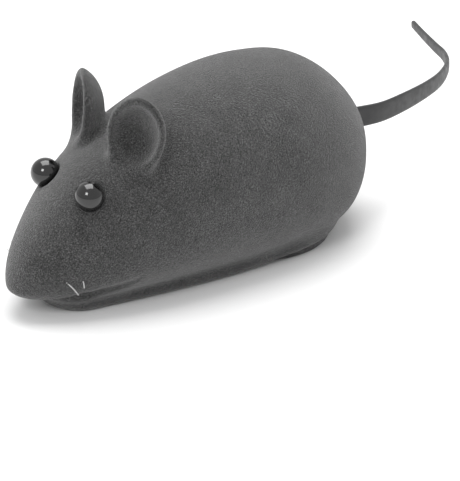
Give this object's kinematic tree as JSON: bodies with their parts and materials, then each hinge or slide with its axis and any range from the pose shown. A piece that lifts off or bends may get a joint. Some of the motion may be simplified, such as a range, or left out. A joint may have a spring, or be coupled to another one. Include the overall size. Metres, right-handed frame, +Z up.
{
  "type": "squeaking toy mouse",
  "caption": "Flocked hollow toy mouse with moulded cupped ears, bead eyes, whiskers, a strip tail and a flat spring foot disc that holds a reed squeaker.",
  "frame": {"origin": "centre of the foot disc's flat underside, which stands on the floor", "axes": "+Z up out of the foot disc; the nose points to -X, the tail leaves towards +X, the mouse's left side is -Y"},
  "size_m": [0.1233, 0.059, 0.0347],
  "materials": {
    "flocked_vinyl": "soft vinyl with short dark grey flock",
    "bare_vinyl": "bare black soft vinyl",
    "black_bead": "polished black",
    "clear_nylon": "clear nylon thread",
    "tail_vinyl": "smooth dark grey soft vinyl",
    "grey_plastic": "moulded mid grey plastic",
    "reed_brass": "thin rolled strip"
  },
  "bodies": {
    "mouse": {"body_shell": "flocked_vinyl", "bellows_wall": "bare_vinyl", "eye_left": "black_bead", "eye_right": "black_bead", "whiskers_left": "clear_nylon", "whiskers_right": "clear_nylon", "tail_root": "tail_vinyl"},
    "foot": {"foot_disc": "flocked_vinyl", "squeaker_case": "grey_plastic", "squeaker_reed_seat": "grey_plastic", "squeaker_wedge": "grey_plastic"},
    "reed": {"squeaker_reed": "reed_brass"},
    "tail": {"tail": "tail_vinyl"}
  },
  "joints": [
    {"name": "foot_press", "type": "slide", "parent": "mouse", "child": "foot", "axis": [0, 0, 1], "range_m": [0, 0.0025], "stiffness_N_per_m": 300, "springref_m": -0.002, "deforming": ["bellows_wall"]},
    {"name": "reed_flex", "type": "hinge", "parent": "foot", "child": "reed", "pos_m": [0, 0, 0.00625], "axis": [0, 1, 0], "range_deg": [-3, 3], "stiffness_Nm_per_rad": 0.0002},
    {"name": "tail_flex", "type": "hinge", "parent": "mouse", "child": "tail", "pos_m": [0.0204, 0, 0.0142], "axis": [0, 0, 1], "range_deg": [-30, 30], "stiffness_Nm_per_rad": 0.0003}
  ]
}
